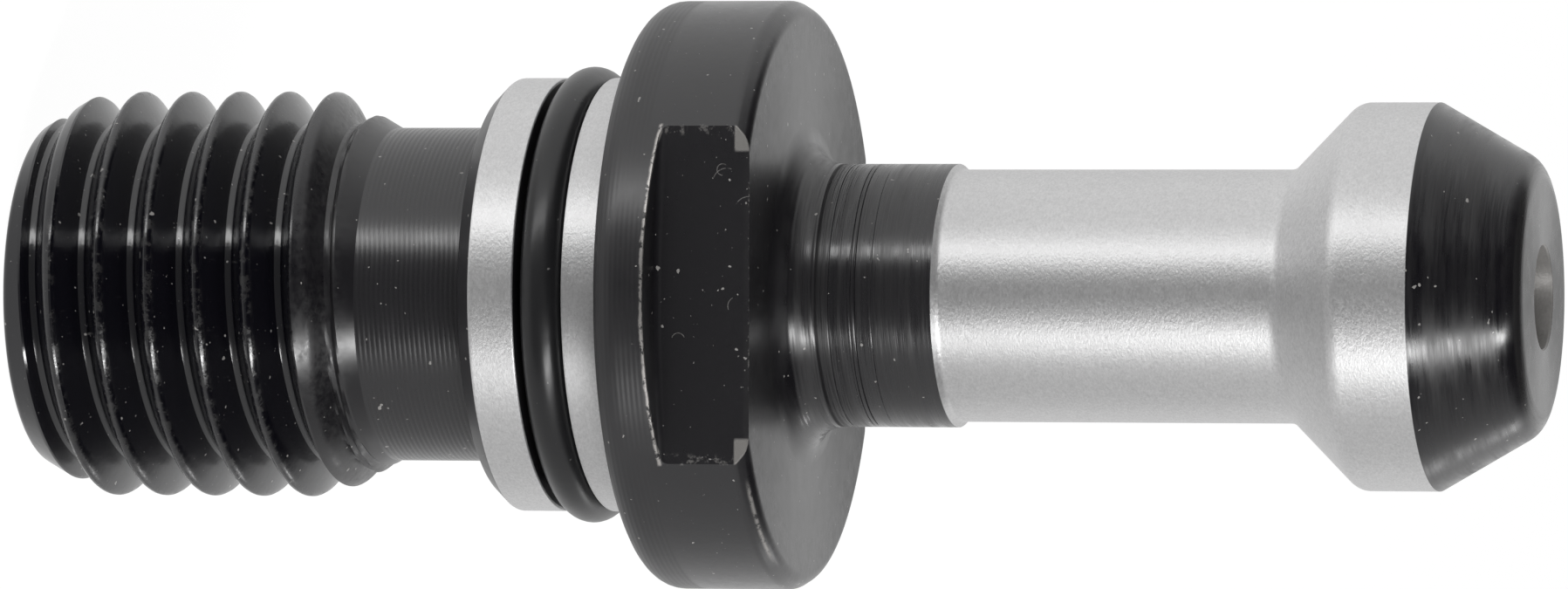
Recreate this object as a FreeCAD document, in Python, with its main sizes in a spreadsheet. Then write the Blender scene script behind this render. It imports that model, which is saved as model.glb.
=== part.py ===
import FreeCAD, Part
import Sketcher
import os

# Retention knob (pull stud) for a size 40 tool taper, standing on its threaded end.
# Origin: centre of the threaded end face. +Z runs along the axis to the gripping head.
# The two wrench flats face -Y and +Y. Lengths in mm, angles in degrees.

# threaded shank; the thread's depth follows from its pitch and flanks
threadDiameter = 16.0
threadPitch = 2.0
threadFlankAngle = 60.0
threadStart = 0.2
entryLength = 2.35
entryRound = 0.5
turnedAngle = 30.0
shankLength = 25.0

# relief between the thread and the pilot
reliefDepth = 1.45
reliefLength = 4.55

# ground pilot, the groove in it and the rubber ring, which rests on the groove's floor
pilotDiameter = 17.0
pilotLength = 6.15
pilotChamfer = 0.6
grooveDepth = 1.26
grooveWidth = 1.95
grooveSetback = 1.85
ringSection = 1.7

# flange with two wrench flats
flangeDiameter = 23.0
flangeThickness = 5.9
flangeSeatRound = 1.1
flangeTopRound = 0.65
acrossFlats = 19.0
flatShoulder = 2.15
flatCutterRadius = 85.0

# neck: left as turned beside the flange, ground where a gripper reaches it
groundNeckDiameter = 9.8
turnedNeckExcess = 0.25
turnedNeckReach = 12.1
neckFootRound = 1.5

# gripping head
headDiameter = 15.0
headReach = 28.0
headBand = 3.0
gripAngle = 45.0
gripFootRound = 0.6
gripEdgeRound = 0.8
tipLength = 4.0
tipRound = 1.2

# coolant bore
boreDiameter = 4.0

# each number named above fills one cell of the sheet, under its own name
sizes = {name: value for name, value in globals().items() if isinstance(value, float)}
doc = FreeCAD.newDocument("pull_stud")
sheet = doc.addObject("Spreadsheet::Sheet", "Sizes")
for row, (name, value) in enumerate(sizes.items(), start=1):
    sheet.set("A%d" % row, name)
    sheet.set("B%d" % row, str(value))
    sheet.setAlias("B%d" % row, name)
doc.recompute()


def formula(text):
    # "$name" in a formula stands for that cell of the sheet
    return text.replace("$", "Sizes.")


def valueOf(text):
    return float(sheet.evalExpression(formula(text)))


# heights up the axis, all from the same few lengths
seat = "$shankLength"
pilotFoot = "($shankLength - $pilotLength)"
reliefFoot = "($shankLength - $pilotLength - $reliefLength)"
grooveTop = "($shankLength - $grooveSetback)"
flangeTop = "($shankLength + $flangeThickness)"
neckStep = "($shankLength + $turnedNeckReach)"
headStart = "($shankLength + $headReach)"
tipStart = "($shankLength + $headReach + $headBand)"
tipTop = "($shankLength + $headReach + $headBand + $tipLength)"


up = FreeCAD.Vector(0, 0, 1)


def originPlane(body, role):
    return next(f for f in body.Origin.OriginFeatures if f.Role == role)


def newSketch(body, name, role="XZ_Plane"):
    sketch = body.newObject("Sketcher::SketchObject", name)
    sketch.AttachmentSupport = [(originPlane(body, role), "")]
    sketch.MapMode = "FlatFace"
    return sketch


def tiePoint(sketch, geometry, end, point):
    # holds one end of a line at coordinates given by two formulas
    for kind, axis, text in zip(("DistanceX", "DistanceY"), (-2, -1), point):
        number = valueOf(text)
        if text == "0":
            sketch.addConstraint(Sketcher.Constraint("PointOnObject", geometry, end, axis))
        else:
            index = sketch.addConstraint(Sketcher.Constraint(kind, -1, 1, geometry, end, number))
            sketch.setExpression("Constraints[%d]" % index, formula(text))


def addOutline(sketch, points):
    # a closed outline of straight lines through points given as pairs of formulas
    corners = [FreeCAD.Vector(valueOf(x), valueOf(y), 0) for x, y in points]
    lines = []
    for start, end in zip(corners, corners[1:] + corners[:1]):
        lines.append(sketch.addGeometry(Part.LineSegment(start, end)))
    for line, following in zip(lines, lines[1:] + lines[:1]):
        sketch.addConstraint(Sketcher.Constraint("Coincident", line, 2, following, 1))
    for line, point in zip(lines, points):
        tiePoint(sketch, line, 1, point)


def roundOff(centre, radius, first, last, chords):
    # points of a round, as short chords from one angle to another about its centre
    points = []
    for step in range(chords + 1):
        angle = "(%s + (%s - %s) * %d / %d)" % (first, last, first, step, chords)
        points.append(("%s + %s * cos(%s)" % (centre[0], radius, angle),
                       "%s + %s * sin(%s)" % (centre[1], radius, angle)))
    return points


def turn(body, kind, sketch):
    # a full turn of a sketch about the body's Z axis, as a Revolution or a Groove
    feature = body.newObject("PartDesign::" + kind, sketch.Name + kind)
    feature.Profile = sketch
    feature.ReferenceAxis = (sketch, ["V_Axis"])
    feature.Angle = 360
    doc.recompute()
    return feature


# ---------------------------------------------------------------- the steel knob
stud = doc.addObject("PartDesign::Body", "stud")
stud.Label = "stud"

# half section, from the threaded end face up to the tip; its rounds are short chords
entryRadius = "$threadDiameter / 2 - $entryLength * tan($turnedAngle)"
reliefRadius = "$threadDiameter / 2 - $reliefDepth"
reliefSlope = "$reliefDepth / tan($turnedAngle)"
turnedNeckRadius = "$groundNeckDiameter / 2 + $turnedNeckExcess"
neckSlope = "$turnedNeckExcess / tan($turnedAngle)"
gripLength = "($headDiameter - $groundNeckDiameter) / 2 / tan($gripAngle)"
tipRadius = "$headDiameter / 2 - $tipLength * tan($turnedAngle)"
steepRound = "tan(45 - $turnedAngle / 2)"
gripRound = "tan($gripAngle / 2)"
section = [("0", "0")]
section += roundOff((entryRadius + " - $entryRound * " + steepRound, "$entryRound"),
                    "$entryRound", "-90", "-$turnedAngle", 1)
section += [
    ("$threadDiameter / 2", "$entryLength"),
    ("$threadDiameter / 2", reliefFoot + " - " + reliefSlope),
    (reliefRadius, reliefFoot),
    (reliefRadius, pilotFoot),
    ("$pilotDiameter / 2 - $pilotChamfer", pilotFoot),
    ("$pilotDiameter / 2", pilotFoot + " + $pilotChamfer"),
    ("$pilotDiameter / 2", seat),
]
section += roundOff(("$flangeDiameter / 2 - $flangeSeatRound", seat + " + $flangeSeatRound"),
                    "$flangeSeatRound", "-90", "0", 3)
section += roundOff(("$flangeDiameter / 2 - $flangeTopRound", flangeTop + " - $flangeTopRound"),
                    "$flangeTopRound", "0", "90", 2)
section += roundOff((turnedNeckRadius + " + $neckFootRound", flangeTop + " + $neckFootRound"),
                    "$neckFootRound", "270", "180", 3)
section += [
    (turnedNeckRadius, neckStep),
    ("$groundNeckDiameter / 2", neckStep + " + " + neckSlope),
]
section += roundOff(("$groundNeckDiameter / 2 + $gripFootRound",
                     "%s - %s - $gripFootRound * %s" % (headStart, gripLength, gripRound)),
                    "$gripFootRound", "180", "180 - $gripAngle", 1)
section += roundOff(("$headDiameter / 2 - $gripEdgeRound", headStart + " + $gripEdgeRound * " + gripRound),
                    "$gripEdgeRound", "-$gripAngle", "0", 2)
section += [("$headDiameter / 2", tipStart)]
section += roundOff((tipRadius + " - $tipRound * " + steepRound, tipTop + " - $tipRound"),
                    "$tipRound", "$turnedAngle", "90", 2)
section += [("0", tipTop)]
sectionSketch = newSketch(stud, "Section")
addOutline(sectionSketch, section)
turned = turn(stud, "Revolution", sectionSketch)

# groove for the rubber ring
grooveFoot = "(%s - $grooveWidth)" % grooveTop
grooveRadius = "$pilotDiameter / 2 - $grooveDepth"
grooveSketch = newSketch(stud, "RingGroove")
addOutline(grooveSketch, [
    (grooveRadius, grooveFoot),
    ("$flangeDiameter / 2", grooveFoot),
    ("$flangeDiameter / 2", grooveTop),
    (grooveRadius, grooveTop),
])
grooved = turn(stud, "Groove", grooveSketch)

# coolant bore right through
boreSketch = newSketch(stud, "BoreCircle", "XY_Plane")
boreRadius = "$boreDiameter / 2"
circle = boreSketch.addGeometry(Part.Circle(FreeCAD.Vector(), up, valueOf(boreRadius)))
boreSketch.addConstraint(Sketcher.Constraint("Coincident", circle, 3, -1, 1))
across = boreSketch.addConstraint(Sketcher.Constraint("Radius", circle, valueOf(boreRadius)))
boreSketch.setExpression("Constraints[%d]" % across, formula(boreRadius))
bore = stud.newObject("PartDesign::Pocket", "CoolantBore")
bore.Profile = boreSketch
bore.Type = "ThroughAll"
bore.Reversed = True
doc.recompute()

# wrench flats, milled from the head side down to a shoulder that keeps the cutter's own arc
flatSketch = newSketch(stud, "WrenchFlat")
flatSketch.setExpression("AttachmentOffset.Base.z", formula("$acrossFlats / 2"))
reach = flangeDiameter / 2
lowest = shankLength + flatShoulder
sag = flatCutterRadius - (flatCutterRadius ** 2 - reach ** 2) ** 0.5
left = FreeCAD.Vector(-reach, lowest + sag, 0)
right = FreeCAD.Vector(reach, lowest + sag, 0)
rise = FreeCAD.Vector(0, valueOf(flangeTop), 0)
shoulder = flatSketch.addGeometry(Part.Arc(left, FreeCAD.Vector(0, lowest, 0), right))
sides = [(right, right + rise), (right + rise, left + rise), (left + rise, left)]
rightSide, topSide, leftSide = [flatSketch.addGeometry(Part.LineSegment(*ends)) for ends in sides]
for joint in [(shoulder, 2, rightSide, 1), (rightSide, 2, topSide, 1),
              (topSide, 2, leftSide, 1), (leftSide, 2, shoulder, 1)]:
    flatSketch.addConstraint(Sketcher.Constraint("Coincident", *joint))
tiePoint(flatSketch, shoulder, 3, ("0", "$shankLength + $flatShoulder + $flatCutterRadius"))
arcRadius = flatSketch.addConstraint(Sketcher.Constraint("Radius", shoulder, flatCutterRadius))
flatSketch.setExpression("Constraints[%d]" % arcRadius, formula("$flatCutterRadius"))
tiePoint(flatSketch, topSide, 1, ("$flangeDiameter / 2", flangeTop + " + $flangeThickness"))
tiePoint(flatSketch, topSide, 2, ("-$flangeDiameter / 2", flangeTop + " + $flangeThickness"))
flatSketch.addConstraint(Sketcher.Constraint("Vertical", rightSide))
flatSketch.addConstraint(Sketcher.Constraint("Vertical", leftSide))
flat = stud.newObject("PartDesign::Pocket", "NearFlat")
flat.Profile = flatSketch
flat.Reversed = True
flat.setExpression("Length", formula("$flangeDiameter / 2"))
doc.recompute()
flats = stud.newObject("PartDesign::Mirrored", "BothFlats")
flats.Originals = [flat]
flats.MirrorPlane = (originPlane(stud, "XZ_Plane"), [""])
stud.Tip = flats
doc.recompute()

# the thread: a right-hand V cut that starts below the end face and runs out in the relief
cutSketch = newSketch(stud, "ThreadCut")
crestFlat = "$threadPitch / 8"
rootHalf = "$threadPitch / 12"
clearance = "$threadPitch / 8"
flankSlope = "tan($threadFlankAngle / 2)"
crestHalf = "(($threadPitch - %s) / 2)" % crestFlat
mouthHalf = "(%s + %s * %s)" % (crestHalf, clearance, flankSlope)
rootRadius = "$threadDiameter / 2 - (%s - %s) / %s" % (crestHalf, rootHalf, flankSlope)
cutCentre = "(-$threadPitch - $threadStart)"
mouthRadius = "$threadDiameter / 2 + " + clearance
addOutline(cutSketch, [
    (rootRadius, "%s - %s" % (cutCentre, rootHalf)),
    (mouthRadius, "%s - %s" % (cutCentre, mouthHalf)),
    (mouthRadius, "%s + %s" % (cutCentre, mouthHalf)),
    (rootRadius, "%s + %s" % (cutCentre, rootHalf)),
])
thread = stud.newObject("PartDesign::SubtractiveHelix", "Thread")
thread.Profile = cutSketch
thread.ReferenceAxis = (cutSketch, ["V_Axis"])
thread.Mode = "pitch-height-angle"
thread.setExpression("Pitch", formula("$threadPitch"))
thread.setExpression("Height", formula(reliefFoot + " + 1.25 * $threadPitch"))
thread.LeftHanded = False
thread.Reversed = False
doc.recompute()

# ---------------------------------------------------------------- the rubber ring
ring = doc.addObject("PartDesign::Body", "o_ring")
ring.Label = "o_ring"
ringSketch = newSketch(ring, "RingSection")
# twelve sides about the wire's circle: one lies flat on the groove's floor, one on its upper wall
ringCentre = (grooveRadius + " + $ringSection / 2", grooveTop + " - $ringSection / 2")
addOutline(ringSketch, roundOff(ringCentre, "$ringSection / 2 / cos(15)", "15", "345", 11))
turn(ring, "Revolution", ringSketch)

# ---------------------------------------------------------------- checks and files
for item in doc.Objects:
    if "Invalid" in item.State or "Error" in item.State:
        raise RuntimeError("%s did not build: %s" % (item.Name, item.State))
for cut, before in [(grooved, turned), (bore, grooved), (flat, bore), (flats, flat), (thread, flats)]:
    if cut.Shape.Volume >= before.Shape.Volume:
        raise RuntimeError("%s cuts nothing" % cut.Name)
os.makedirs("parts", exist_ok=True)
for body in (stud, ring):
    shape = body.Shape
    if shape.isNull() or not shape.isValid() or len(shape.Solids) != 1:
        raise RuntimeError("%s is not one valid solid" % body.Label)
    shape.exportStep("parts/%s.step" % body.Label)
    print("%s: %.1f mm3, %d faces" % (body.Label, shape.Volume, len(shape.Faces)))
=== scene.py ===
import math

import bmesh
import bpy
from mathutils import Matrix, Vector


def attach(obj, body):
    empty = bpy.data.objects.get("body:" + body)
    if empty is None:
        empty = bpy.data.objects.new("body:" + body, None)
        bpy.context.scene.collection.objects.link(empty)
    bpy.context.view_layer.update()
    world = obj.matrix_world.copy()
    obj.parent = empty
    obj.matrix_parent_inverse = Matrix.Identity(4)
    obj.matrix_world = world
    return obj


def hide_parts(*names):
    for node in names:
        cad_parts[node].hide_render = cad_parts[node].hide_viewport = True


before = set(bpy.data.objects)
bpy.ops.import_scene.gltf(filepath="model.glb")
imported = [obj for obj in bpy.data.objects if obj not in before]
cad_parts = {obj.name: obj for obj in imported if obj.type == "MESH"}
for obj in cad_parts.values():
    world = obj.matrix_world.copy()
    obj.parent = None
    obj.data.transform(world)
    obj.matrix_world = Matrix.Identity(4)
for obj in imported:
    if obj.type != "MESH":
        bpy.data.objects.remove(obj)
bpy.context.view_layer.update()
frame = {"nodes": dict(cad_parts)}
mm = 0.001
mergeReach = 1e-6      # metres
print("frame loaded:", ", ".join(frame["nodes"]))


# ---- node trees, written as expressions

class Wire:
    # one output of a node; sums and products of wires add their own Math nodes
    def __init__(self, graph, socket):
        self.graph = graph
        self.socket = socket

    def maths(self, operation, *values):
        return self.graph.add("ShaderNodeMath", {"operation": operation}, dict(enumerate(values)))

    def __add__(self, other):
        return self.maths("ADD", self, other)

    def __sub__(self, other):
        return self.maths("SUBTRACT", self, other)

    def __mul__(self, other):
        return self.maths("MULTIPLY", self, other)

    def __truediv__(self, other):
        return self.maths("DIVIDE", self, other)

    def __pow__(self, other):
        return self.maths("POWER", self, other)

    def __mod__(self, other):
        return self.maths("FLOORED_MODULO", self, other)

    def __rsub__(self, other):
        return self.maths("SUBTRACT", other, self)

    def __rtruediv__(self, other):
        return self.maths("DIVIDE", other, self)

    def __abs__(self):
        return self.maths("ABSOLUTE", self)

    __radd__ = __add__
    __rmul__ = __mul__

    def floor(self):
        return self.maths("FLOOR", self)

    def ceil(self):
        return self.maths("CEIL", self)

    def sine(self):
        return self.maths("SINE", self)

    def cosine(self):
        return self.maths("COSINE", self)

    def least(self, other, soft=None):
        if soft is None:
            return self.maths("MINIMUM", self, other)
        return self.maths("SMOOTH_MIN", self, other, soft)

    def most(self, other, soft=None):
        if soft is None:
            return self.maths("MAXIMUM", self, other)
        return self.maths("SMOOTH_MAX", self, other, soft)

    def rise(self, start, end):
        # 0 below start, 1 above end, eased between them
        return self.graph.add("ShaderNodeMapRange", {"interpolation_type": "SMOOTHSTEP"},
                              {"Value": self, "From Min": start, "From Max": end})

    def near(self, place, reach):
        # 1 at the place, eased down to 0 at the reach on either side
        return 1 - abs(self - place).rise(0, reach)

    def within(self, low, high, soft):
        return self.rise(low - soft, low + soft) * (1 - self.rise(high - soft, high + soft))


class Graph:
    def __init__(self, tree):
        self.tree = tree

    def node(self, kind, settings=None, inputs=None):
        node = self.tree.nodes.new(kind)
        for name, value in (settings or {}).items():
            setattr(node, name, value)
        for name, value in (inputs or {}).items():
            if isinstance(value, Wire):
                self.tree.links.new(value.socket, node.inputs[name])
            else:
                node.inputs[name].default_value = value
        return node

    def add(self, kind, settings=None, inputs=None, output=0):
        return Wire(self, self.node(kind, settings, inputs).outputs[output])

    def split(self, vector):
        node = self.node("ShaderNodeSeparateXYZ", {}, {0: vector})
        return [Wire(self, socket) for socket in node.outputs]

    def join(self, x, y, z):
        return self.add("ShaderNodeCombineXYZ", {}, {0: x, 1: y, 2: z})

    def blend(self, amount, first, second):
        # a colour between two colours
        return self.add("ShaderNodeMix", {"data_type": "RGBA"}, {0: amount, 6: first, 7: second}, 2)

    def between(self, amount, first, second):
        # a number between two numbers
        return self.add("ShaderNodeMix", {"data_type": "FLOAT"}, {0: amount, 2: first, 3: second}, 0)

    def noise(self, vector, scale, detail=2.0, roughness=0.5):
        return self.add("ShaderNodeTexNoise", {},
                        {"Vector": vector, "Scale": scale, "Detail": detail, "Roughness": roughness}, 0)


def geometryTree(name, sizes):
    # a Geometry Nodes tree with a geometry in and out, and a named input for each size
    tree = bpy.data.node_groups.new(name, "GeometryNodeTree")
    tree.interface.new_socket("Geometry", in_out="INPUT", socket_type="NodeSocketGeometry")
    tree.interface.new_socket("Geometry", in_out="OUTPUT", socket_type="NodeSocketGeometry")
    for label, value in sizes.items():
        kind = "NodeSocketInt" if isinstance(value, int) else "NodeSocketFloat"
        tree.interface.new_socket(label, in_out="INPUT", socket_type=kind)
    tree.interface.new_socket("Material", in_out="INPUT", socket_type="NodeSocketMaterial")
    graph = Graph(tree)
    entry = graph.node("NodeGroupInput")
    return graph, {socket.name: Wire(graph, socket) for socket in entry.outputs if socket.name}


def endTree(graph, geometry, material):
    whole = graph.add("GeometryNodeRealizeInstances", {}, {"Geometry": geometry})
    dressed = graph.add("GeometryNodeSetMaterial", {}, {"Geometry": whole, "Material": material})
    graph.node("NodeGroupOutput", {}, {0: dressed})
    return graph.tree


def addTree(piece, tree, sizes, material):
    modifier = piece.modifiers.new(tree.name, "NODES")
    modifier.node_group = tree
    values = dict(sizes, Material=material)
    for item in tree.interface.items_tree:
        if item.in_out == "INPUT" and item.name in values:
            modifier[item.identifier] = values[item.name]


def settle(piece):
    # turns what the modifiers make into the piece's own plain mesh
    graph = bpy.context.evaluated_depsgraph_get()
    mesh = bpy.data.meshes.new_from_object(piece.evaluated_get(graph))
    piece.modifiers.clear()
    piece.data = mesh
    mesh.name = piece.name


def newPiece(name, points, edges=(), faces=()):
    mesh = bpy.data.meshes.new(name)
    mesh.from_pydata([Vector(point) * mm for point in points], edges, faces)
    piece = bpy.data.objects.new(name, mesh)
    bpy.context.collection.objects.link(piece)
    return piece


def smooth(piece, angle):
    mesh = piece.data
    mesh.polygons.foreach_set("use_smooth", [True] * len(mesh.polygons))
    mesh.set_sharp_from_angle(angle=math.radians(angle))


# ---- camera

cameraPlace = {"x": -0.025, "distance": 428.97, "height": 136.55,     # mm
               "down": 13.960, "roll": 0.162,                         # degrees
               "lens": 259.71, "sensor": 36}                          # mm


def makeCamera():
    data = bpy.data.cameras.new("camera")
    data.sensor_width = cameraPlace["sensor"]
    data.lens = cameraPlace["lens"]
    data.clip_start = 0.05
    camera = bpy.data.objects.new("camera", data)
    bpy.context.collection.objects.link(camera)
    down = math.radians(cameraPlace["down"])
    roll = math.radians(cameraPlace["roll"])
    axis = Vector((0, math.sin(down), math.cos(down)))      # the stud's axis as the camera sees it
    side = Vector((1, 0, 0))
    right = axis * math.cos(roll) - side * math.sin(roll)
    up = -(axis * math.sin(roll) + side * math.cos(roll))
    turned = Matrix((right, up, right.cross(up))).transposed().to_4x4()
    place = Vector((cameraPlace["x"], -cameraPlace["distance"], cameraPlace["height"])) * mm
    camera.matrix_world = Matrix.Translation(place) @ turned
    bpy.context.scene.camera = camera


makeCamera()
print("camera placed")


# ---- sizes of the stud, in mm, heights from its threaded end

turnedAngle = math.radians(30)      # of the entry taper and of the tip, from the axis

stud = {
    "segments": 180, "smoothAngle": 22,
    "longRun": 0.3, "runStep": 0.7, "edgeGap": 0.03,      # how points are spread along the profile
    "threadRadius": 8.0, "pitch": 2.0, "threadDepth": 1.28, "crestHalf": 0.125, "crestHeight": 0.8,
    "flankSlope": math.tan(math.radians(60)), "crestSoft": 0.35, "rootSoft": 0.18, "rowsPerPitch": 24,
    "turnedSlope": math.tan(turnedAngle),
    "entryLength": 2.35, "entryRound": 0.5,
    "runoutHeight": 13.2, "ridgeHeight": 13.62, "ridgeRadius": 6.93,
    "reliefRadius": 6.55, "reliefFoot": 14.3,
    "pilotRadius": 8.5, "pilotFoot": 18.85, "pilotChamfer": 0.6,
    "grooveRadius": 7.24, "grooveFoot": 21.2, "grooveTop": 23.15,
    "seat": 25.0, "flangeRadius": 11.5, "seatRound": 1.1,
    "flangeTop": 30.9, "topBevel": 0.36, "bevelLength": 0.56, "bevelRound": 0.5,
    "flatHalf": 9.5, "flatReach": 6.48, "shoulder": 27.15, "shoulderArc": 85.0, "millRound": 0.3,
    "cutterReach": 1.5, "cutterRise": 1.0,                # how far the cutter stands past the flange
    "turnedNeck": 5.13, "neckRound": 1.5, "neckStep": 36.97, "stepLength": 0.20, "groundNeck": 4.91,
    "headFoot": 53.0, "headRadius": 7.5, "gripRound": 0.6, "edgeRound": 0.8,
    "bandTop": 56.0, "tipTop": 60.0, "tipRound": 1.2,
    "boreRadius": 2.0, "boreEdge": 0.06,
}


# ---- finishes

finish = {
    "blackOxide": (0.0066, 0.0060, 0.0078, 1),
    "oiledOxide": (0.0026, 0.0024, 0.0046, 1),
    # pale oxide for the rubbed crests, the runout and other paler zones; also painted onto the tip's end
    # face and the flange's head-side face as painted light
    "paleOxideAndPaintedLight": (0.0200, 0.0192, 0.0200, 1),
    "groundSteel": (0.68, 0.678, 0.68, 1),
    "boreSteel": (0.30, 0.29, 0.28, 1),
    # worn steel, also the colour of the painted glint on the flange's top bevel
    "wornSteelAndGlint": (0.55, 0.53, 0.51, 1),
    "lint": (0.30, 0.29, 0.28, 1),
    "turnedRoughness": 0.31,
    "oiledRoughness": 0.17,
    "groundRoughness": 0.49,
    "groundMetal": 0.90,
    "boreMetal": 0.35,
    "oxideIor": 1.72,
    "anisotropy": 0.7,
    "feed": 0.20,                # mm between the turning marks
    "lineDepth": 0.042,          # mm, of the rough turning on neck and tip
    "feedDepth": 0.005,
    "grainDepth": 0.014,
    "relief": (14.35, 18.7),     # heights in mm
    "landFeet": (19.43, 21.22), "landTops": (23.13, 25.0),
    "toolLines": ((31.42, 0.12, 0.012), (32.34, 0.16, 0.040), (32.9, 0.05, 0.010),
                  (33.78, 0.05, 0.016), (33.95, 0.06, 0.022), (34.6, 0.04, 0.008)),
    # hairs of lint on the near flat: centre x and height, radius, bearing and half span in degrees
    "hairs": ((-4.80, 29.84, 0.22, 250, 110), (-4.30, 30.00, 0.55, 205, 45), (-3.15, 30.90, 0.62, 200, 38),
              (1.72, 28.10, 0.26, 180, 70), (0.42, 30.40, 0.34, 250, 45)),
    "hairWidth": 0.026,
}


def newMaterial(name):
    material = bpy.data.materials.new(name)
    material.use_nodes = True
    material.node_tree.nodes.clear()
    return material, Graph(material.node_tree)


def placeInMm(g):
    place = g.add("ShaderNodeTexCoord", {}, {}, "Object")
    return g.add("ShaderNodeVectorMath", {"operation": "SCALE"}, {0: place, "Scale": 1 / mm})


def arc(u, v, hair):
    # 1 along a thin arc drawn in the plane of u and v
    across, along, radius, turn, half = hair
    du, dv = u - across, v - along
    away = (du * du + dv * dv).most(1e-4) ** 0.5
    turn = math.radians(turn)
    toward = (du * math.cos(turn) + dv * math.sin(turn)) / away
    bound = math.cos(math.radians(half))
    return away.near(radius, finish["hairWidth"]) * toward.rise(bound - 0.02, bound + 0.02)


def steelFinish():
    material, g = newMaterial("steel")
    place = placeInMm(g)
    x, y, z = g.split(place)
    radius = (x * x + y * y) ** 0.5
    along = z + radius

    # where it is ground bright, where oil lies in the thread, and the rest of its zones
    bore = 1 - radius.rise(stud["boreRadius"] + 0.03, stud["boreRadius"] + 0.08)
    ground = z.within(stud["neckStep"], stud["bandTop"], 0.015) * (1 - bore)
    pilot = radius.rise(8.35, 8.4) * (1 - radius.rise(8.6, 8.65))
    for ends in (finish["landFeet"], finish["landTops"]):
        ground = ground.most(z.within(*ends, 0.015) * pilot)
    thread = 1 - z.rise(11.7, 12.5)
    runout = z.within(12.0, 13.9, 0.4) * (1 - bore)
    relief = z.within(*finish["relief"], 0.1) * (1 - radius.rise(6.8, 6.9)) * (1 - bore)
    flat = 1 - (abs(y) - stud["flatHalf"]).rise(0.01, 0.05)
    flat = flat * z.within(27.0, 31.0, 0.1) * radius.rise(9.45, 9.5)
    rim = z.within(24.7, 31.1, 0.3) * radius.rise(9.4, 11.4) * (1 - flat)
    plate = z.within(30.7, 31.1, 0.1) * radius.rise(5.6, 7.0) * (1 - radius.rise(11.0, 11.3))
    neck = z.within(31.1, stud["neckStep"], 0.2) * (1 - radius.rise(6.2, 6.8))
    tip = z.rise(stud["bandTop"], stud["bandTop"] + 0.1) * radius.rise(4.2, 4.9)
    cap = z.rise(59.7, 59.9) * (1 - bore)

    # turning marks run round the axis, on walls and faces alike
    wander = g.noise(place, 0.35)
    coarse = g.noise(g.join(along * 2.4, x * 0.07, y * 0.07), 1.0, 4.0, 0.72) - 0.5
    fine = g.noise(g.join(along * 8.0, x * 0.5, y * 0.5), 1.0, 2.0, 0.7) - 0.5
    feed = (z / finish["feed"] * math.tau).sine()
    grain = g.noise(g.join(x * 7, y * 7, z * 11), 1.0, 3.0, 0.7) - 0.5
    mottle = g.noise(place, 1.1, 4.0, 0.6) - 0.5
    stain = g.noise(place, 3.2, 4.0, 0.7) - 0.5

    # bright worn edges round the wrench flats and on the flange, and a painted glint on the flange's top
    # bevel
    shoulder = stud["shoulder"] + stud["shoulderArc"] - (stud["shoulderArc"] ** 2 - x * x) ** 0.5
    beside = 1 - abs(x).rise(stud["flatReach"], stud["flatReach"] + 0.12)
    out = (abs(y) - stud["flatHalf"]).near(0, 0.06)
    ragged = g.noise(place, 1.7, 3.0, 0.6) - 0.5
    onShoulder = (z - shoulder).near(ragged * 0.16 - 0.02, 0.12) * radius.rise(11.3, 11.45) * beside
    onSide = out * radius.rise(11.25, 11.4) * (z - shoulder).rise(0, 0.1)
    onCorner = out * z.within(30.34, stud["flangeTop"], 0.06) * radius.rise(10.95, 11.05)
    onTop = out * z.near(stud["flangeTop"], 0.07) * beside
    # painted glint: a bright streak on the near side of the flange's top bevel, at one bearing only, where
    # the light catches that edge
    bevelGlint = radius.near(11.30, 0.07) * z.near(30.7, 0.25) * x.within(7.4, 10.1, 0.4) * (1 - y.rise(-1, 0))
    chips = g.noise(place, 3.0, 3.0, 0.75)
    wornAndGlint = onShoulder * chips.rise(0.38, 0.52)
    wornAndGlint = wornAndGlint.most(onSide * chips.rise(0.52, 0.66) * 0.22).most(onCorner * 0.9)
    wornAndGlint = wornAndGlint.most(onTop * chips.rise(0.54, 0.64) * 0.22).most(bevelGlint * chips.rise(0.35, 0.5) * 0.7)

    # rubbed crests, specks of dust and a few curled hairs of lint
    crest = thread * radius.rise(7.72, 7.95)
    rubbed = crest * g.noise(place, 2.2, 4.0, 0.75).rise(0.46, 0.62)
    specks = g.noise(place, 3.4, 1.0, 0.5).rise(0.755, 0.775)
    small = g.noise(place, 7.5, 1.0, 0.5).rise(0.765, 0.80) * (thread + flat).least(1.0)
    strands = 0
    for hair in finish["hairs"]:
        strands = arc(x, z, hair) + strands
    strands = strands * g.noise(place, 5.0).rise(0.30, 0.55) * y.rise(-9.7, -9.6) * (1 - y.rise(-9.45, -9.3))
    dust = specks.most(small * 0.6).most(strands.least(1.0) * 0.5) * (1 - ground)

    black = g.blend(thread, finish["blackOxide"], finish["oiledOxide"])
    paleAndPaintedLight = (coarse * 3.0 + 0.3).least(1.0).most(0) * (neck + tip) * 0.8 + rubbed * 0.9
    # the tip's end face (cap) and the flange's head-side face (plate) are painted paler: painted light that
    # stands in for the light these faces catch; the runout is greyed as rubbed wear
    paleAndPaintedLight = paleAndPaintedLight + cap * (2.6 + stain) + runout * (0.1 + stain * 1.6)
    paleAndPaintedLight = paleAndPaintedLight + plate * (0.25 + mottle) + rim * (0.1 + mottle * 0.6)
    color = g.blend(paleAndPaintedLight.most(0).least(1.0), black, finish["paleOxideAndPaintedLight"])
    color = g.blend(ground, color, finish["groundSteel"])
    color = g.blend(bore, color, finish["boreSteel"])
    color = g.add("ShaderNodeVectorMath", {"operation": "SCALE"},
                  {0: color, "Scale": 1 + (grain * 0.55 + stain * 0.2) * (ground + bore)})
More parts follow.
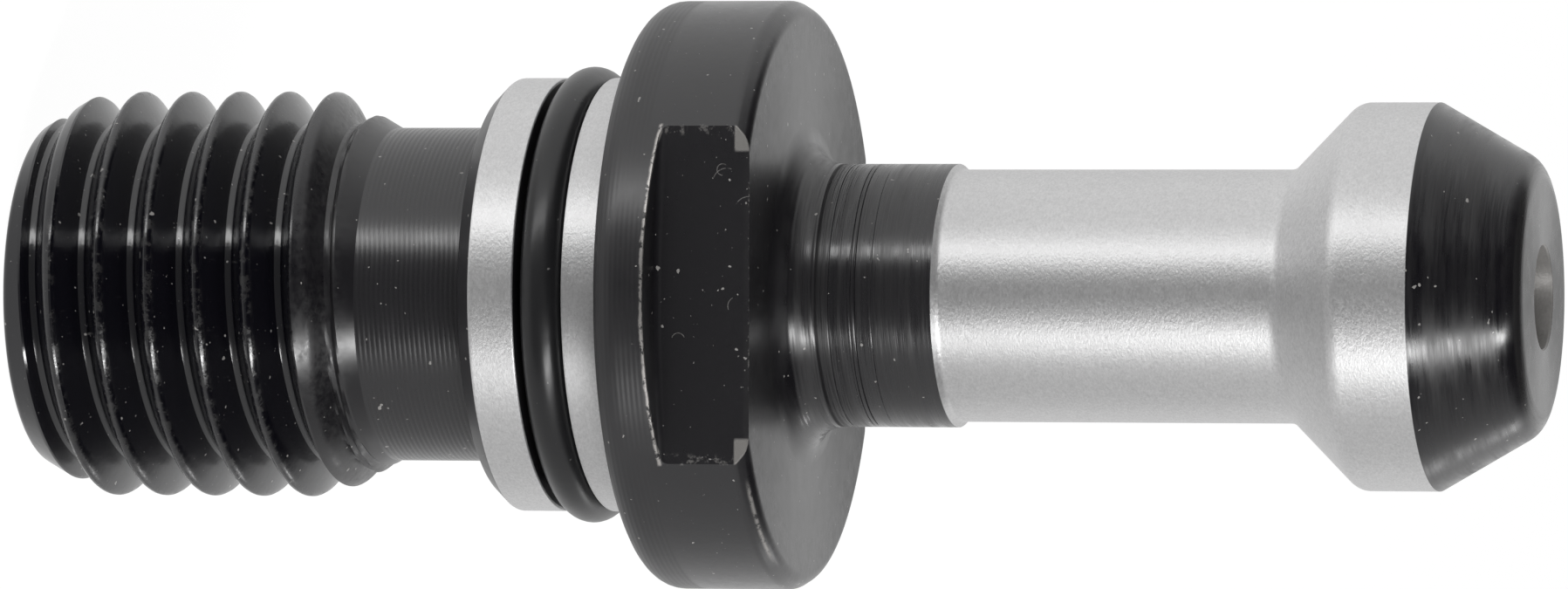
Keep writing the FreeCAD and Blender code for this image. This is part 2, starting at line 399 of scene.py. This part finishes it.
    # worn edges, and the painted glint on the bevel, in worn steel
    color = g.blend(wornAndGlint, color, finish["wornSteelAndGlint"])
    color = g.blend(dust, color, finish["lint"])
    metal = (ground * finish["groundMetal"]).most(wornAndGlint).most(bore * finish["boreMetal"])
    dull = g.between(thread, finish["turnedRoughness"], finish["oiledRoughness"])
    dull = dull + rim * 0.10 + mottle * 0.12 + coarse * (neck + tip) * 0.7 + fine * (neck + tip) * 0.3
    dull = dull + (feed * 0.035 + fine * 0.12) * relief + rubbed * 0.2 + stain * flat * 0.15
    dull = dull - cap * 0.03 + runout * (0.06 + stain * 0.5)
    rough = g.between(ground.most(wornAndGlint).most(bore), dull, finish["groundRoughness"] + grain * 0.16)

    # heights in mm
    heavy = (neck + tip * 0.6) * (0.6 + wander * 0.8)
    light = (rim + plate).least(1.0) * 0.12
    height = coarse * finish["lineDepth"] * (heavy + light) + fine * 0.004 * (heavy + light + relief)
    height = height + feed * finish["feedDepth"] * (relief + rim * (1 - z.rise(26.6, 27.6)) * 0.6)
    height = height + grain * finish["grainDepth"] * (ground + bore).least(1.0)
    for line, reach, depth in finish["toolLines"]:
        height = height - z.near(line, reach) * depth * neck
    height = height + (mottle * 0.006 + stain * 0.003) * (thread + flat).least(1.0) + stain * 0.0012
    normal = g.add("ShaderNodeBump", {}, {"Strength": 1.0, "Distance": mm, "Height": height})

    shader = g.add("ShaderNodeBsdfPrincipled", {}, {
        "Base Color": color, "Metallic": metal, "Roughness": rough,
        "IOR": finish["oxideIor"], "Anisotropic": finish["anisotropy"],
        "Anisotropic Rotation": 0.25, "Normal": normal})
    g.node("ShaderNodeOutputMaterial", {}, {"Surface": shader})
    return material


rubberLook = {"color": (0.010, 0.010, 0.011, 1), "roughness": 0.24, "unevenness": 0.12, "ior": 1.52}


def rubberFinish():
    material, g = newMaterial("rubber")
    place = placeInMm(g)
    mottle = g.noise(place, 0.9, 3.0, 0.6)
    specks = g.noise(place, 3.6, 1.0, 0.5).rise(0.76, 0.79)
    color = g.blend(specks * 0.4, rubberLook["color"], finish["lint"])
    normal = g.add("ShaderNodeBump", {}, {"Distance": mm, "Height": g.noise(place, 2.5, 3.0) * 0.004})
    shader = g.add("ShaderNodeBsdfPrincipled", {}, {
        "Base Color": color, "Roughness": rubberLook["roughness"] + mottle * rubberLook["unevenness"],
        "IOR": rubberLook["ior"], "Normal": normal})
    g.node("ShaderNodeOutputMaterial", {}, {"Surface": shader})
    return material


steel = steelFinish()
rubber = rubberFinish()
print("finishes made")


# ---- the turned stud

def corner(before, at, after, radius, steps=8):
    # the arc that rounds a corner of the profile, from one tangent point to the other
    a = (before - at).normalized()
    b = (after - at).normalized()
    half = a.angle(b) / 2
    centre = at + (a + b).normalized() * (radius / math.sin(half))
    start = at + a * (radius / math.tan(half)) - centre
    end = at + b * (radius / math.tan(half)) - centre
    return [centre + start.slerp(end, step / steps).normalized() * radius for step in range(steps + 1)]


def profile(corners):
    # (radius, height, round) corners to a chain of points; long runs get points near their ends
    places = [Vector((r, h)) for r, h, _ in corners]
    chain = []
    for index, (r, h, rounding) in enumerate(corners):
        at = places[index]
        if rounding and 0 < index < len(corners) - 1:
            chain += corner(places[index - 1], at, places[index + 1], rounding)
        else:
            chain.append(at)
    points = [chain[0]]
    for start, end in zip(chain, chain[1:]):
        run = (end - start).length
        if run > stud["longRun"]:
            parts = max(2, round(run / stud["runStep"]))
            edge = stud["edgeGap"] / run
            shares = [edge] + [part / parts for part in range(1, parts)] + [1 - edge]
            points += [start.lerp(end, share) for share in shares]
        points.append(end)
    return [(point.x, 0, point.y) for point in points]


def latheTree():
    # turns the points of a chain about Z; the first and last columns meet and are merged
    g, size = geometryTree("lathe", {"Segments": 1})
    count = g.add("GeometryNodeAttributeDomainSize", {"component": "MESH"}, {0: size["Geometry"]})
    columns = size["Segments"] + 1
    grid = g.add("GeometryNodeMeshGrid", {}, {"Vertices X": count, "Vertices Y": columns})
    index = g.add("GeometryNodeInputIndex")
    row = ((index + 0.5) / columns).floor()
    angle = (index - row * columns) / size["Segments"] * math.tau
    position = g.add("GeometryNodeInputPosition")
    point = g.add("GeometryNodeSampleIndex", {"data_type": "FLOAT_VECTOR", "domain": "POINT"},
                  {"Geometry": size["Geometry"], "Value": position, "Index": row})
    turned = g.add("ShaderNodeVectorRotate", {"rotation_type": "Z_AXIS"}, {"Vector": point, "Angle": angle})
    skin = g.add("GeometryNodeSetPosition", {}, {"Geometry": grid, "Position": turned})
    closed = g.add("GeometryNodeMergeByDistance", {}, {"Geometry": skin, "Distance": mergeReach})
    return endTree(g, closed, size["Material"])


def threadTree():
    # adds the threaded skin between two circles: its rows climb with the helix, so crests stay crisp
    names = {"Segments": 1, "Rows": 1, "Pitch": 1.0, "Runout Height": 1.0, "Ridge Height": 1.0,
             "Ridge Radius": 1.0, "Crest Radius": 1.0, "Depth": 1.0, "Crest Half": 1.0,
             "Crest Height": 1.0, "Flank Slope": 1.0, "Crest Soft": 1.0, "Root Soft": 1.0,
             "Low": 1.0, "High": 1.0, "Low Radius": 1.0, "High Radius": 1.0, "Cone Slope": 1.0}
    g, size = geometryTree("thread", names)
    columns = size["Segments"] + 1
    span = size["High"] - size["Low"] + size["Pitch"]
    rowCount = (span / size["Pitch"] * size["Rows"]).ceil() + 1
    grid = g.add("GeometryNodeMeshGrid", {}, {"Vertices X": rowCount, "Vertices Y": columns})
    index = g.add("GeometryNodeInputIndex")
    row = ((index + 0.5) / columns).floor()
    turn = (index - row * columns) / size["Segments"]
    start = size["Low"] - size["Pitch"] + row / size["Rows"] * size["Pitch"]
    height = (start + turn * size["Pitch"]).most(size["Low"]).least(size["High"])
    # radius of the V thread on this row, then the cones that it fades into at both ends
    off = abs((start - size["Crest Height"] + size["Pitch"] / 2) % size["Pitch"] - size["Pitch"] / 2)
    flank = size["Crest Radius"] - (off - size["Crest Half"]) * size["Flank Slope"]
    radius = flank.least(size["Crest Radius"], size["Crest Soft"])
    radius = radius.most(size["Crest Radius"] - size["Depth"], size["Root Soft"])
    up = height - size["Low"]
    down = size["High"] - height
    lift = (1 - up.rise(0, 0.3 * mm)) * (0.04 * mm)
    ease = up.least(down).rise(0, 0.5 * mm) * size["Root Soft"]
    lowCone = size["Low Radius"] + up * size["Cone Slope"]
    highCone = size["High Radius"] + down * size["Cone Slope"]
    cone = lowCone.least(highCone)
    # a plain groove where the last turn runs out, and the ridge left beside it
    groove = size["Crest Radius"] - size["Depth"] + abs(height - size["Runout Height"]) * 1.6
    radius = (radius + lift).least(cone, ease).least(groove, ease)
    ridge = size["Ridge Radius"] - abs(height - size["Ridge Height"]) * 1.2
    radius = radius.most(ridge, 0.1 * mm).least(cone)
    angle = turn * math.tau
    place = g.join(radius * angle.cosine(), radius * angle.sine(), height)
    skin = g.add("GeometryNodeSetPosition", {}, {"Geometry": grid, "Position": place})
    both = g.node("GeometryNodeJoinGeometry")
    for part in (size["Geometry"], skin):
        g.tree.links.new(part.socket, both.inputs[0])
    closed = g.add("GeometryNodeMergeByDistance", {},
                   {"Geometry": Wire(g, both.outputs[0]), "Distance": mergeReach})
    return endTree(g, closed, size["Material"])


def flatCutter(side):
    # what the mill takes away: a slab over an arched shoulder, with the mill's own small round at its foot
    outer = stud["flangeRadius"] + stud["cutterReach"]
    top = stud["flangeTop"] + stud["cutterRise"]
    face = stud["flatHalf"]
    small = stud["millRound"]
    steps = 6
    slices = 24
    foot = [(face + small - small * math.sin(math.radians(90 * k / steps)),
             small - small * math.cos(math.radians(90 * k / steps))) for k in range(steps + 1)]
    rows = []
    for k in range(-slices, slices + 1):
        x = outer * k / slices
        low = stud["shoulder"] + stud["shoulderArc"] - math.sqrt(stud["shoulderArc"] ** 2 - x * x)
        rows.append([(x, side * y, low + rise) for y, rise in [(outer, 0)] + foot]
                    + [(x, side * face, top), (x, side * outer, top)])
    width = len(rows[0])
    points = [point for row in rows for point in row]
    faces = []
    for a in range(len(rows) - 1):
        here, after = a * width, (a + 1) * width
        for b in range(width):
            turn = (b + 1) % width
            faces.append((here + b, after + b, after + turn, here + turn))
    faces += [tuple(range(width)), tuple(reversed(range(len(points) - width, len(points))))]
    return points, faces


def outward(piece):
    work = bmesh.new()
    work.from_mesh(piece.data)
    bmesh.ops.recalc_face_normals(work, faces=work.faces)
    work.to_mesh(piece.data)
    work.free()


def studCorners():
    s = stud
    coneTop = s["entryRound"] * (1 - math.sin(turnedAngle))
    entry = s["threadRadius"] - s["entryLength"] * s["turnedSlope"]
    gripFoot = s["headFoot"] - (s["headRadius"] - s["groundNeck"])
    tip = s["headRadius"] - (s["tipTop"] - s["bandTop"]) * s["turnedSlope"]
    corners = [
        (s["reliefRadius"], s["reliefFoot"], 0),
        (s["reliefRadius"], s["pilotFoot"], 0.12),
        (s["pilotRadius"] - s["pilotChamfer"], s["pilotFoot"], 0.15),
        (s["pilotRadius"], s["pilotFoot"] + s["pilotChamfer"], 0.2),
        (s["pilotRadius"], s["grooveFoot"], 0.05),
        (s["grooveRadius"], s["grooveFoot"], 0.15),
        (s["grooveRadius"], s["grooveTop"], 0.15),
        (s["pilotRadius"], s["grooveTop"], 0.05),
        (s["pilotRadius"], s["seat"], 0.12),
        (s["flangeRadius"], s["seat"], s["seatRound"]),
        (s["flangeRadius"], s["flangeTop"] - s["bevelLength"], s["bevelRound"]),
        (s["flangeRadius"] - s["topBevel"], s["flangeTop"], s["bevelRound"]),
        (s["turnedNeck"], s["flangeTop"], s["neckRound"]),
        (s["turnedNeck"], s["neckStep"], 0.03),
        (s["groundNeck"], s["neckStep"] + s["stepLength"], 0.25),
        (s["groundNeck"], gripFoot, s["gripRound"]),
        (s["headRadius"], s["headFoot"], s["edgeRound"]),
        (s["headRadius"], s["bandTop"], 0.06),
        (tip, s["tipTop"], s["tipRound"]),
        (s["boreRadius"] + s["boreEdge"], s["tipTop"], 0),
        (s["boreRadius"], s["tipTop"] - s["boreEdge"], 0),
        (s["boreRadius"], s["boreEdge"], 0),
        (s["boreRadius"] + s["boreEdge"], 0, 0),
        (entry, 0, s["entryRound"]),
        (entry + coneTop * s["turnedSlope"], coneTop, 0),
    ]
    return corners


def makeStud(lathe):
    s = stud
    points = profile(studCorners())
    piece = newPiece("studSkin", points, [(k, k + 1) for k in range(len(points) - 1)])
    addTree(piece, lathe, {"Segments": s["segments"]}, steel)
    low = points[-1]
    addTree(piece, threadTree(), {
        "Segments": s["segments"], "Rows": s["rowsPerPitch"], "Pitch": s["pitch"] * mm,
        "Crest Radius": s["threadRadius"] * mm, "Depth": s["threadDepth"] * mm,
        "Crest Half": s["crestHalf"] * mm, "Crest Height": s["crestHeight"] * mm,
        "Runout Height": s["runoutHeight"] * mm, "Ridge Height": s["ridgeHeight"] * mm,
        "Ridge Radius": s["ridgeRadius"] * mm, "Flank Slope": s["flankSlope"],
        "Crest Soft": s["crestSoft"] * mm, "Root Soft": s["rootSoft"] * mm,
        "Low": low[2] * mm, "High": s["reliefFoot"] * mm, "Low Radius": low[0] * mm,
        "High Radius": s["reliefRadius"] * mm, "Cone Slope": s["turnedSlope"]}, steel)
    settle(piece)
    outward(piece)
    for side in (-1, 1):
        points, faces = flatCutter(side)
        cutter = newPiece("cutter", points, (), faces)
        cutter.data.materials.append(steel)
        outward(cutter)
        cut = piece.modifiers.new("flat", "BOOLEAN")
        cut.object = cutter
        cut.solver = "EXACT"
        settle(piece)
        bpy.data.objects.remove(cutter)
    smooth(piece, s["smoothAngle"])
    return piece


lathe = latheTree()
studSkin = makeStud(lathe)
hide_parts("stud")
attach(studSkin, "root")
print("stud:", len(studSkin.data.polygons), "faces")


# ---- the rubber ring

ring = {"section": 1.7, "sides": 36, "segments": 180, "smoothAngle": 40}


def makeRing(lathe):
    half = ring["section"] / 2
    centre = (stud["grooveRadius"] + half, stud["grooveTop"] - half)
    turns = [math.tau * k / ring["sides"] for k in range(ring["sides"] + 1)]
    points = [(centre[0] + half * math.cos(a), 0, centre[1] + half * math.sin(a)) for a in turns]
    piece = newPiece("sealRing", points, [(k, k + 1) for k in range(ring["sides"])])
    addTree(piece, lathe, {"Segments": ring["segments"]}, rubber)
    settle(piece)
    outward(piece)
    smooth(piece, ring["smoothAngle"])
    return piece


sealRing = makeRing(lathe)
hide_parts("o_ring")
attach(sealRing, "root")
print("ring:", len(sealRing.data.polygons), "faces")


# ---- floor and light

studio = {
    "floorSize": 4.0, "floorGlow": 0.965, "floorShade": 0.12, "floorBounce": 0.85,
    "front": 0.17, "frontHalf": 33.0, "sideHalf": 50.0,      # the dim front, degrees each side of -Y
    "leftSide": 0.95, "rightSide": 0.60, "back": 0.82, "above": 0.01, "below": 0.56,
}

# strip lights stand upright round the stud: bearing from -Y in degrees, sizes in metres, power in watts
strips = {
    "backStrip": {"bearing": 131.0, "distance": 0.30, "width": 0.06,
                  "low": 0.13, "high": 0.19, "power": 0.030},
    "leftStrip": {"bearing": -39.0, "distance": 0.30, "width": 0.045,
                  "low": -0.30, "high": 0.10, "power": 0.30},
    "rightStrip": {"bearing": 39.0, "distance": 0.30, "width": 0.045,
                   "low": 0.09, "high": 0.50, "power": 1.1},
}


def makeFloor():
    half = studio["floorSize"] / 2 / mm
    piece = newPiece("floor", [(-half, -half, 0), (half, -half, 0), (half, half, 0), (-half, half, 0)], (),
                     [(0, 1, 2, 3)])
    material, g = newMaterial("floor")
    path = g.node("ShaderNodeLightPath")
    rays = {name: Wire(g, path.outputs[name]) for name in
            ("Is Camera Ray", "Is Glossy Ray", "Is Shadow Ray")}
    white = g.add("ShaderNodeEmission", {}, {"Color": (1, 1, 1, 1), "Strength": studio["floorGlow"]})
    lit = g.add("ShaderNodeBsdfDiffuse", {}, {"Color": (studio["floorBounce"],) * 3 + (1,)})
    shade = g.add("ShaderNodeBsdfDiffuse", {}, {"Color": (studio["floorShade"],) * 3 + (1,)})
    clear = g.add("ShaderNodeBsdfTransparent")
    seen = g.add("ShaderNodeAddShader", {}, {0: white, 1: shade})
    plain = g.add("ShaderNodeMixShader", {}, {0: rays["Is Camera Ray"], 1: lit, 2: seen})
    through = rays["Is Glossy Ray"].most(rays["Is Shadow Ray"])
    surface = g.add("ShaderNodeMixShader", {}, {0: through, 1: plain, 2: clear})
    g.node("ShaderNodeOutputMaterial", {}, {"Surface": surface})
    piece.data.materials.append(material)


def makeWorld():
    world = bpy.data.worlds.new("studio")
    bpy.context.scene.world = world
    world.use_nodes = True
    world.node_tree.nodes.clear()
    g = Graph(world.node_tree)
    x, y, z = g.split(g.add("ShaderNodeTexCoord", {}, {}, "Generated"))
    level = (x * x + y * y).most(1e-6) ** 0.5
    facing = (0 - y) / level
    sides = 1 - facing.rise(math.cos(math.radians(studio["sideHalf"])),
                            math.cos(math.radians(studio["frontHalf"])))
    side = g.between((x / level).rise(-0.5, 0.5), studio["leftSide"], studio["rightSide"])
    back = (y / level).rise(0.3, 0.9)
    around = g.between(sides, studio["front"], g.between(back, side, studio["back"]))
    upper = g.between((z + back * 0.04).rise(0.42, 0.72), around, studio["above"])
    whole = g.between((0 - z).rise(0.6, 0.9), upper, studio["below"])
    seen = g.add("ShaderNodeLightPath", {}, {}, "Is Camera Ray")
    strength = g.between(seen, whole, 1.0)
    light = g.add("ShaderNodeBackground", {}, {"Color": (1, 1, 1, 1), "Strength": strength})
    g.node("ShaderNodeOutputWorld", {}, {"Surface": light})


def makeStrip(name, strip):
    data = bpy.data.lights.new(name, "AREA")
    data.shape = "RECTANGLE"
    data.size = strip["width"]
    data.size_y = strip["high"] - strip["low"]
    data.energy = strip["power"]
    lamp = bpy.data.objects.new(name, data)
    bpy.context.collection.objects.link(lamp)
    turn = math.radians(strip["bearing"])
    towards = Vector((math.sin(turn), -math.cos(turn), 0))
    lamp.location = towards * strip["distance"] + Vector((0, 0, (strip["low"] + strip["high"]) / 2))
    across = towards.cross(Vector((0, 0, 1)))
    lamp.rotation_euler = Matrix((across, towards.cross(across), towards)).transposed().to_euler()
    lamp.visible_camera = False


makeFloor()
makeWorld()
for name, strip in strips.items():
    makeStrip(name, strip)
bpy.context.scene.view_settings.view_transform = "Standard"
print("floor and lights set")
